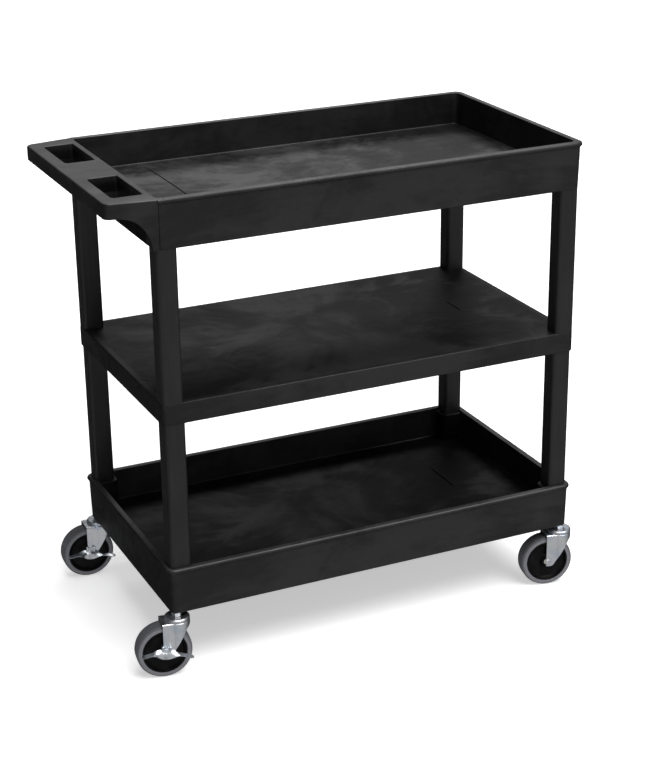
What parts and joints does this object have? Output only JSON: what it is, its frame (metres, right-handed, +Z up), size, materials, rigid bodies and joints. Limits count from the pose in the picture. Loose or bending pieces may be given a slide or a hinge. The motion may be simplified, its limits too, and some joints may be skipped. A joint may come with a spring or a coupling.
{
  "type": "rolling utility cart",
  "caption": "Rolling utility cart with an upper tub, a flat middle shelf and a lower tub on square legs, a moulded push handle and swivel casters with wing brakes at the handle end.",
  "frame": {"origin": "middle of the whole cart's bounding box, on the floor under the wheels", "axes": "+Z up; +X along the shelves, away from the push handle; +Y to the back, so -Y is the long side with the brake levers"},
  "size_m": [0.9066, 0.5091, 0.8793],
  "materials": {
    "shelf_plastic": "near-black structural-foam plastic, semi-matte, with faint lighter flow streaks and a fine swirl",
    "leg_plastic": "charcoal moulded plastic, smoother and slightly lighter than the shelves",
    "zinc": "bright zinc-plated pressed steel, slightly bluish",
    "bearing_steel": "polished bearing steel, greased",
    "tyre": "mid-grey non-marking rubber, matte",
    "hub_plastic": "black moulded plastic, low sheen",
    "nylon": "natural nylon bush"
  },
  "bodies": {
    "root": {"top_tub": "shelf_plastic", "middle_shelf": "shelf_plastic", "bottom_tub": "shelf_plastic", "upper_leg_front_left": "leg_plastic", "lower_leg_front_left": "leg_plastic", "caster_stem_front_left": "zinc", "stem_socket_front_left": "zinc", "race_cap_front_left": "zinc", "upper_leg_back_left": "leg_plastic", "lower_leg_back_left": "leg_plastic", "caster_stem_back_left": "zinc", "stem_socket_back_left": "zinc", "race_cap_back_left": "zinc", "upper_leg_front_right": "leg_plastic", "lower_leg_front_right": "leg_plastic", "caster_stem_front_right": "zinc", "stem_socket_front_right": "zinc", "race_cap_front_right": "zinc", "upper_leg_back_right": "leg_plastic", "lower_leg_back_right": "leg_plastic", "caster_stem_back_right": "zinc", "stem_socket_back_right": "zinc", "race_cap_back_right": "zinc"},
    "swivel_front_left": {"fork_front_left": "zinc", "ball_ring_front_left": "bearing_steel", "axle_bolt_front_left": "zinc", "axle_nut_front_left": "zinc"},
    "wheel_front_left": {"tyre_front_left": "tyre", "wheel_hub_front_left": "hub_plastic", "wheel_bush_front_left": "nylon"},
    "swivel_back_left": {"fork_back_left": "zinc", "ball_ring_back_left": "bearing_steel", "axle_bolt_back_left": "zinc", "axle_nut_back_left": "zinc"},
    "wheel_back_left": {"tyre_back_left": "tyre", "wheel_hub_back_left": "hub_plastic", "wheel_bush_back_left": "nylon"},
    "swivel_front_right": {"fork_front_right": "zinc", "ball_ring_front_right": "bearing_steel", "axle_bolt_front_right": "zinc", "axle_nut_front_right": "zinc"},
    "wheel_front_right": {"tyre_front_right": "tyre", "wheel_hub_front_right": "hub_plastic", "wheel_bush_front_right": "nylon"},
    "swivel_back_right": {"fork_back_right": "zinc", "ball_ring_back_right": "bearing_steel", "axle_bolt_back_right": "zinc", "axle_nut_back_right": "zinc"},
    "wheel_back_right": {"tyre_back_right": "tyre", "wheel_hub_back_right": "hub_plastic", "wheel_bush_back_right": "nylon"},
    "brake_front_left": {"brake_lever_front_left": "zinc", "brake_cam_front_left": "zinc"},
    "brake_back_left": {"brake_lever_back_left": "zinc", "brake_cam_back_left": "zinc"}
  },
  "joints": [
    {"name": "swivel_front_left", "type": "hinge", "parent": "root", "child": "swivel_front_left", "pos_m": [-0.36288, -0.21242, 0.115], "axis": [0, 0, 1], "continuous": true},
    {"name": "wheel_spin_front_left", "type": "hinge", "parent": "swivel_front_left", "child": "wheel_front_left", "pos_m": [-0.38958, -0.20841, 0.05075], "axis": [0.1484, 0.9889, 0], "continuous": true},
    {"name": "swivel_back_left", "type": "hinge", "parent": "root", "child": "swivel_back_left", "pos_m": [-0.36288, 0.22358, 0.115], "axis": [0, 0, 1], "continuous": true},
    {"name": "wheel_spin_back_left", "type": "hinge", "parent": "swivel_back_left", "child": "wheel_back_left", "pos_m": [-0.38985, 0.22474, 0.05075], "axis": [0.043, 0.9991, 0], "continuous": true},
    {"name": "swivel_front_right", "type": "hinge", "parent": "root", "child": "swivel_front_right", "pos_m": [0.42712, -0.21242, 0.115], "axis": [0, 0, 1], "continuous": true},
    {"name": "wheel_spin_front_right", "type": "hinge", "parent": "swivel_front_right", "child": "wheel_front_right", "pos_m": [0.4007, -0.20684, 0.05075], "axis": [0.2065, 0.9784, 0], "continuous": true},
    {"name": "swivel_back_right", "type": "hinge", "parent": "root", "child": "swivel_back_right", "pos_m": [0.42712, 0.22358, 0.115], "axis": [0, 0, 1], "continuous": true},
    {"name": "wheel_spin_back_right", "type": "hinge", "parent": "swivel_back_right", "child": "wheel_back_right", "pos_m": [0.40032, 0.22681, 0.05075], "axis": [0.1197, 0.9928, 0], "continuous": true},
    {"name": "brake_front_left", "type": "hinge", "parent": "swivel_front_left", "child": "brake_front_left", "pos_m": [-0.38958, -0.20841, 0.05075], "axis": [0.1484, 0.9889, 0], "range_deg": [0, 14]},
    {"name": "brake_back_left", "type": "hinge", "parent": "swivel_back_left", "child": "brake_back_left", "pos_m": [-0.38985, 0.22474, 0.05075], "axis": [0.043, 0.9991, 0], "range_deg": [0, 14]}
  ]
}
